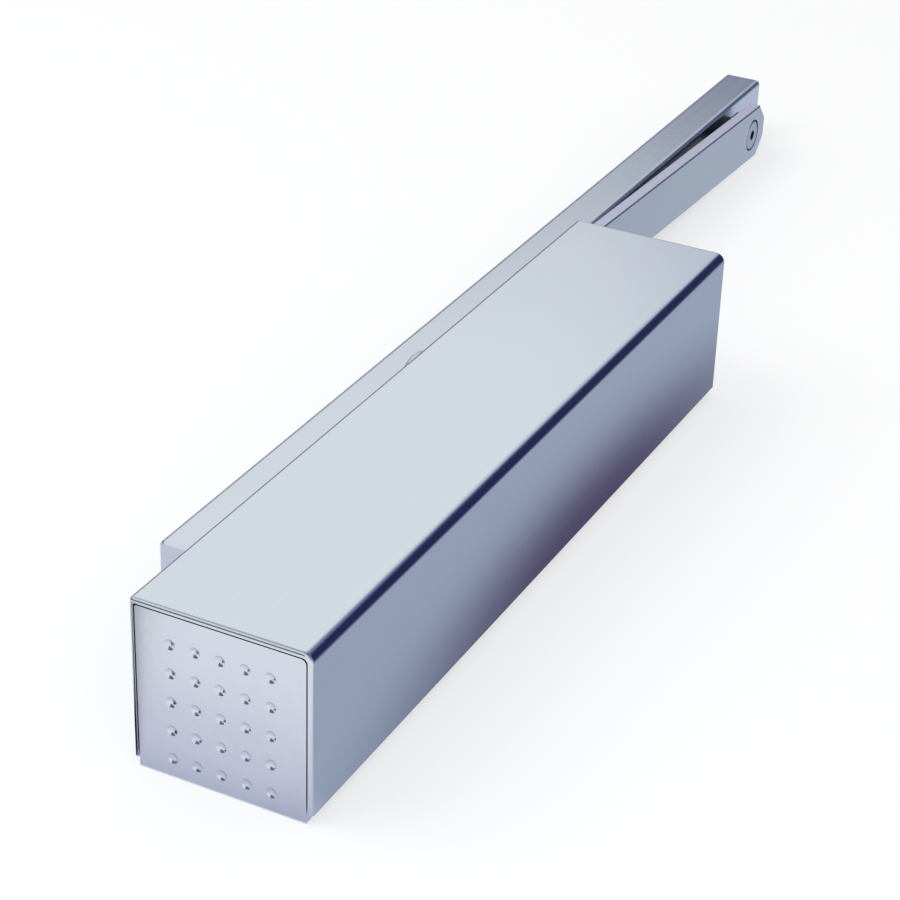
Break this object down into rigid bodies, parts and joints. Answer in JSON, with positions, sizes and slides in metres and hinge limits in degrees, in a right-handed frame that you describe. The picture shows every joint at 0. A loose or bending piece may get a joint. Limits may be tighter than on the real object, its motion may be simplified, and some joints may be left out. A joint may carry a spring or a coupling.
{
  "type": "slide rail door closer",
  "caption": "Surface mounted door closer: a rectangular body with a heart cam drive under a sheet cover, a flat arm, and a slide rail with its sliding block.",
  "frame": {"origin": "middle of the four fixing holes of the closer, in the plane of the door face", "axes": "+X along the closer towards the far end of the slide rail, +Y from the closer towards the rail (up when fitted), +Z out of the door"},
  "size_m": [0.518, 0.092, 0.054],
  "materials": {
    "zinc_steel": "zinc plated",
    "cast_aluminium": "as cast, machined faces",
    "satin_cover": "satin",
    "satin_cap": "satin",
    "turned_aluminium": "turned",
    "black_rubber": "matte",
    "spring_steel": "oiled",
    "seal_plastic": "matte",
    "ground_steel": "ground",
    "polished_steel": "polished",
    "valve_brass": "turned",
    "satin_arm": "satin",
    "slide_plastic": "matte",
    "nickel_screw": "nickel plated",
    "anodised_rail": "satin anodised"
  },
  "bodies": {
    "closer": {"mounting_plate": "zinc_steel", "hydraulic_housing": "cast_aluminium", "housing_screws": "zinc_steel", "spring_end_cap": "satin_cap", "damper_end_cap": "satin_cap", "spring_end_plug": "turned_aluminium", "damper_end_plug": "turned_aluminium", "spring_plug_seal": "black_rubber", "damper_plug_seal": "black_rubber", "closing_spring": "spring_steel", "return_spring": "spring_steel", "lower_bearing": "polished_steel", "upper_bearing": "polished_steel", "spindle_seal": "black_rubber", "bearing_cap": "turned_aluminium", "valve_seals": "black_rubber", "cover_clips": "spring_steel", "clip_screws": "zinc_steel"},
    "adjuster": {"spring_adjusting_screw": "zinc_steel", "adjuster_circlip": "spring_steel"},
    "spring_plate": {"spring_plate": "zinc_steel"},
    "closing_piston": {"closing_piston": "turned_aluminium", "closing_piston_ring": "seal_plastic", "closing_roller_pin": "ground_steel"},
    "closing_roller": {"closing_roller": "ground_steel"},
    "damper_piston": {"damper_piston": "turned_aluminium", "damper_piston_ring": "seal_plastic", "damper_roller_pin": "ground_steel", "check_valve_ball": "polished_steel", "check_valve_retainer": "zinc_steel"},
    "damper_roller": {"damper_roller": "ground_steel"},
    "closing_speed_valve": {"closing_speed_valve": "valve_brass"},
    "latching_valve": {"latching_valve": "valve_brass"},
    "back_check_valve": {"back_check_valve": "valve_brass"},
    "cover": {"cover": "satin_cover"},
    "arm": {"cam_spindle": "ground_steel", "arm": "satin_arm", "arm_screw": "zinc_steel", "pivot_bush": "slide_plastic"},
    "slider": {"slide_block": "slide_plastic", "slide_shoes": "slide_plastic", "pivot_screw": "nickel_screw"},
    "rail": {"slide_rail": "anodised_rail", "rail_bracket_near": "zinc_steel", "rail_bracket_far": "zinc_steel", "rail_end_cap_near": "anodised_rail", "rail_end_cap_far": "anodised_rail", "rail_grub_screws": "zinc_steel", "rail_slot_covers": "anodised_rail", "rail_buffer": "black_rubber"}
  },
  "joints": [
    {"name": "arm_swing", "type": "hinge", "parent": "closer", "child": "arm", "pos_m": [0.047, 0, 0.0245], "axis": [0, -1, 0], "range_deg": [0, 160], "stiffness_Nm_per_rad": 8, "springref_deg": -34.38},
    {"name": "closing_piston_slide", "type": "slide", "parent": "closer", "child": "closing_piston", "axis": [-1, 0, 0], "range_m": [0, 0.00702], "deforming": ["closing_spring"]},
    {"name": "damper_piston_slide", "type": "slide", "parent": "closer", "child": "damper_piston", "axis": [-1, 0, 0], "range_m": [0, 0.00702], "deforming": ["return_spring"]},
    {"name": "closing_roller_spin", "type": "hinge", "parent": "closing_piston", "child": "closing_roller", "pos_m": [0.0314, 0, 0.0245], "axis": [0, 1, 0], "continuous": true},
    {"name": "damper_roller_spin", "type": "hinge", "parent": "damper_piston", "child": "damper_roller", "pos_m": [0.07032, 0, 0.0245], "axis": [0, 1, 0], "continuous": true},
    {"name": "spring_adjust", "type": "hinge", "parent": "closer", "child": "adjuster", "pos_m": [-0.134, 0, 0.0245], "axis": [1, 0, 0], "range_deg": [0, 3060]},
    {"name": "spring_plate_slide", "type": "slide", "parent": "closer", "child": "spring_plate", "axis": [1, 0, 0], "range_m": [0, 0.012]},
    {"name": "closing_speed_turn", "type": "hinge", "parent": "closer", "child": "closing_speed_valve", "pos_m": [0.084, -0.012, 0.046], "axis": [0, 0, 1], "range_deg": [0, 360]},
    {"name": "latching_turn", "type": "hinge", "parent": "closer", "child": "latching_valve", "pos_m": [0.104, -0.012, 0.046], "axis": [0, 0, 1], "range_deg": [0, 360]},
    {"name": "back_check_turn", "type": "hinge", "parent": "closer", "child": "back_check_valve", "pos_m": [0.018, -0.012, 0.046], "axis": [0, 0, 1], "range_deg": [0, 360]},
    {"name": "cover_lift", "type": "slide", "parent": "closer", "child": "cover", "axis": [0, 0, 1], "range_m": [0, 0.06]},
    {"name": "slider_pivot", "type": "hinge", "parent": "arm", "child": "slider", "pos_m": [0.34474, 0.04, 0.012], "axis": [0, 1, 0], "range_deg": [-90, 90]},
    {"name": "rail_slide", "type": "slide", "parent": "slider", "child": "rail", "axis": [1, 0, 0], "range_m": [0, 0.378]}
  ],
  "couplings": [
    {"joint": "closing_piston_slide", "follows": "arm_swing", "m_per_rad": 0.0024586},
    {"joint": "damper_piston_slide", "follows": "arm_swing", "m_per_rad": 0.0024586},
    {"joint": "spring_adjust", "follows": "spring_plate_slide", "rad_per_m": 4188.8}
  ]
}
